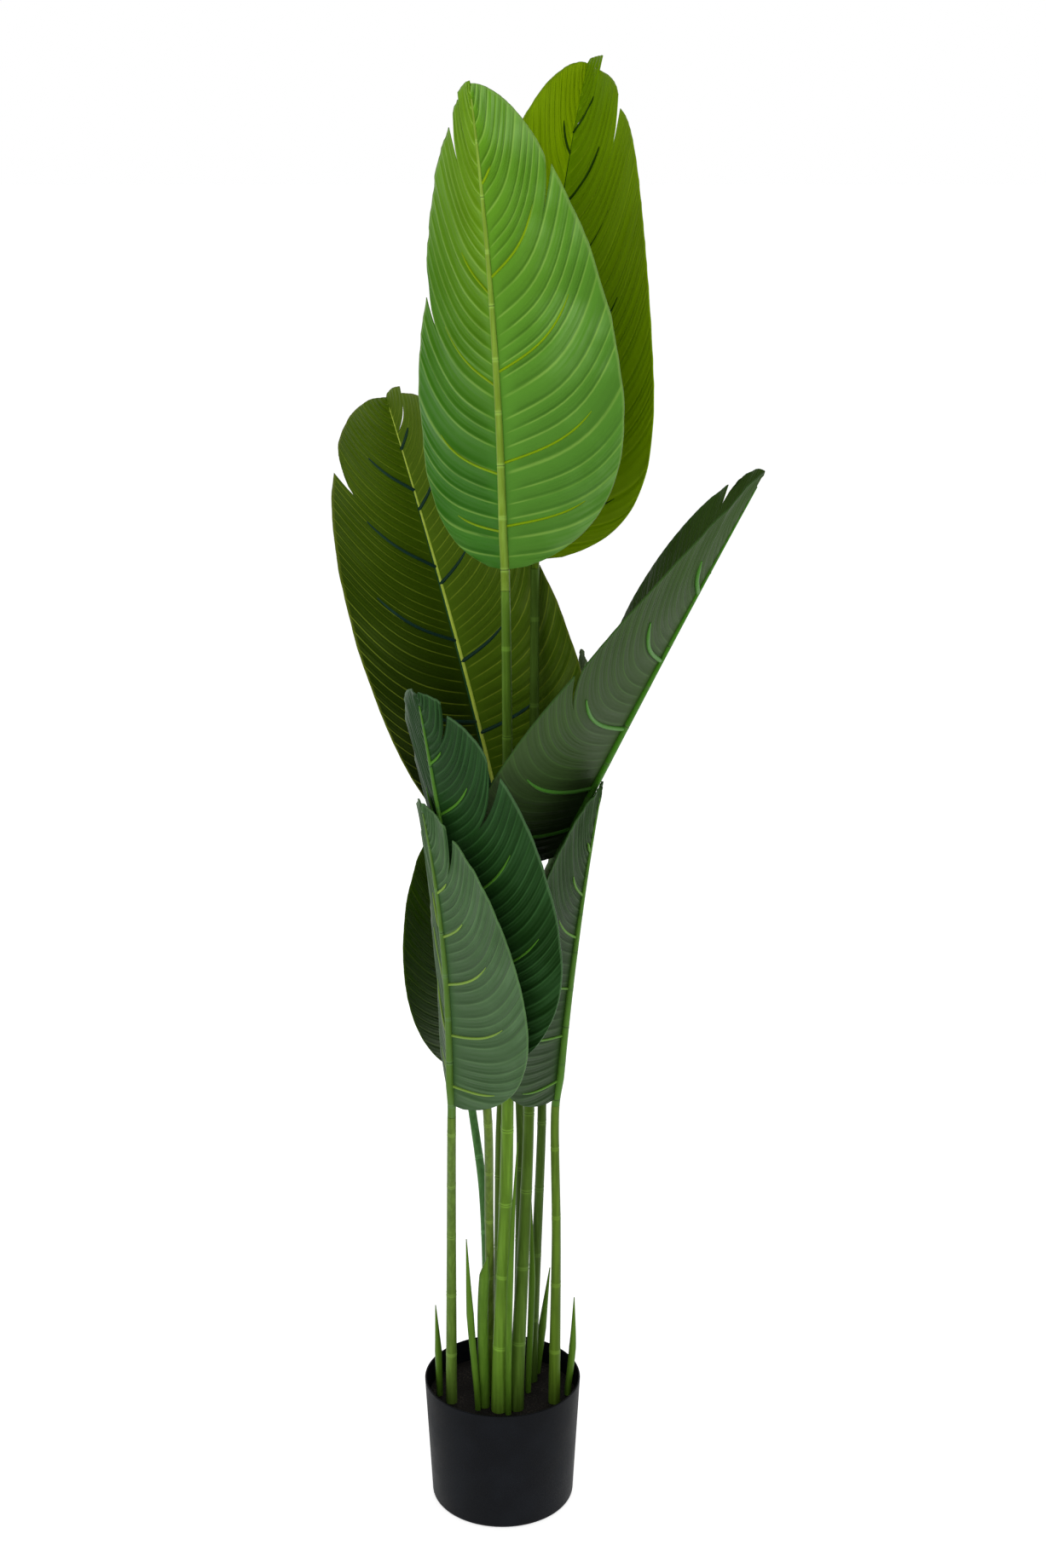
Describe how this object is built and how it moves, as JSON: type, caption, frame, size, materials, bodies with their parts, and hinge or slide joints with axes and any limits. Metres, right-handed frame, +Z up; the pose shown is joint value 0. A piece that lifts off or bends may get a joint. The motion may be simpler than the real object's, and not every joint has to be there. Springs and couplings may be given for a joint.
{
  "type": "artificial banana plant in pot",
  "caption": "Tall artificial banana plant with broad veined leaves on jointed upright stems and young pointed shoots, set in a plain round tapered pot.",
  "frame": {"origin": "middle of the pot's flat underside", "axes": "+Z up, -Y towards the front seen in the picture, +X to the right in that view"},
  "size_m": [0.4365, 0.5249, 1.6309],
  "materials": {
    "pot": "matt, faint sheen",
    "fill": "rough, covered in dark felt",
    "stem": "satin",
    "shoot": "satin",
    "leaf_top_front": "coated cloth, low sheen",
    "leaf_top_back": "coated cloth, low sheen",
    "leaf_upper_left": "coated cloth, low sheen",
    "leaf_right": "coated cloth, low sheen",
    "leaf_middle": "coated cloth, low sheen",
    "leaf_low_front": "coated cloth, low sheen",
    "leaf_low_right": "coated cloth, low sheen",
    "leaf_low_left": "coated cloth, low sheen",
    "leaf_rear": "coated cloth, low sheen"
  },
  "bodies": {
    "root": {"pot": "pot", "fill": "fill", "leaf_top_front": "leaf_top_front", "leaf_top_back": "leaf_top_back", "leaf_upper_left": "leaf_upper_left", "leaf_right": "leaf_right", "leaf_middle": "leaf_middle", "leaf_low_front": "leaf_low_front", "leaf_low_right": "leaf_low_right", "leaf_low_left": "leaf_low_left", "leaf_rear": "leaf_rear", "stem_top_front": "stem", "stem_top_back": "stem", "stem_upper_left": "stem", "stem_right": "stem", "stem_middle": "stem", "stem_low_front": "stem", "stem_low_right": "stem", "stem_low_left": "stem", "stem_rear": "stem", "shoot_far_left": "shoot", "shoot_left": "shoot", "shoot_sheath": "shoot", "shoot_middle": "shoot", "shoot_rear": "shoot", "shoot_right": "shoot", "shoot_far_right": "shoot"}
  },
  "joints": []
}
